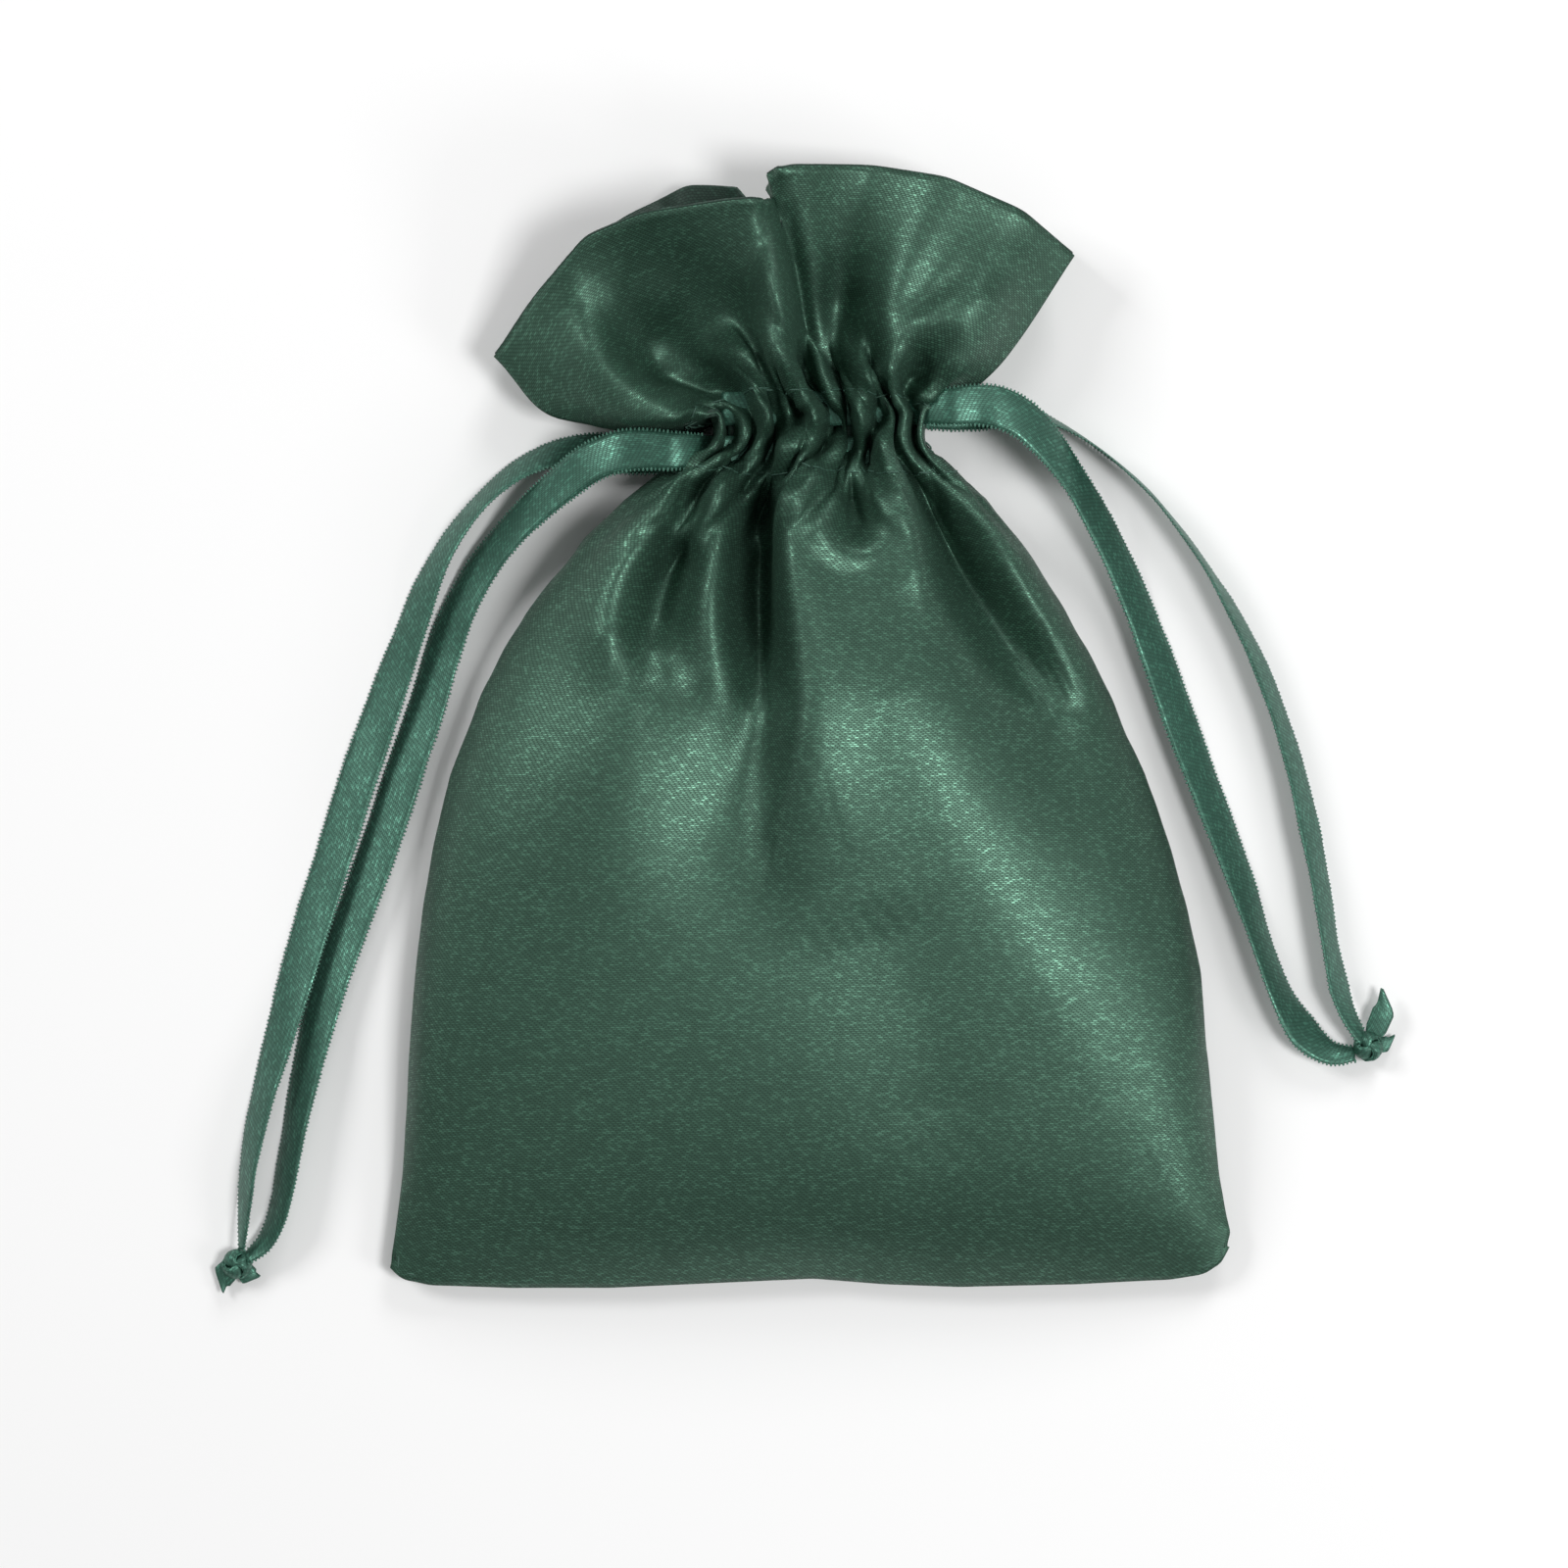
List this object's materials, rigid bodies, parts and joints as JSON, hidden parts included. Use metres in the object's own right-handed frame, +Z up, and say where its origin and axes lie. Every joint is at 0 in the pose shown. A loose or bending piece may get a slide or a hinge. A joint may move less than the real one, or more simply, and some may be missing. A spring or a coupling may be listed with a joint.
{
  "type": "drawstring gift sack",
  "caption": "Small satin gift sack lying on its back, its neck gathered under a flared ruffle by ribbon drawstrings that are knotted at each side.",
  "frame": {"origin": "middle of the sack's box, without the free ribbons, on the surface that the back panel lies on", "axes": "+Y from the bottom seam to the mouth, +Z up out of the front panel, +X to the sack's side that is on the right when the mouth points away"},
  "size_m": [0.1803, 0.1687, 0.0275],
  "materials": {
    "satin": "dark green satin, face side",
    "lining": "dark green satin, wrong side and turned-in parts",
    "ribbon": "dark green satin ribbon with woven edges",
    "thread": "dark green polyester sewing thread"
  },
  "bodies": {
    "sack": {"front_panel": "satin", "back_panel": "satin", "front_facing": "lining", "back_facing": "lining", "left_seam_allowance": "lining", "right_seam_allowance": "lining", "bottom_seam_allowance": "lining", "left_seam_stitch": "thread", "right_seam_stitch": "thread", "bottom_seam_stitch": "thread", "left_overlock_thread": "thread", "right_overlock_thread": "thread", "bottom_overlock_thread": "thread", "front_upper_casing_stitch": "thread", "front_lower_casing_stitch": "thread", "back_upper_casing_stitch": "thread", "back_lower_casing_stitch": "thread"},
    "left_drawstring": {"left_ribbon_loop": "ribbon", "left_front_strand": "ribbon", "left_back_strand": "ribbon", "left_knot": "ribbon"},
    "right_drawstring": {"right_ribbon_loop": "ribbon", "right_front_strand": "ribbon", "right_back_strand": "ribbon", "right_knot": "ribbon"}
  },
  "joints": [
    {"name": "left_drawstring_pull", "type": "slide", "parent": "sack", "child": "left_drawstring", "axis": [-1, 0, 0], "range_m": [-0.004, 0.004]},
    {"name": "right_drawstring_pull", "type": "slide", "parent": "sack", "child": "right_drawstring", "axis": [1, 0, 0], "range_m": [-0.004, 0.004]}
  ]
}
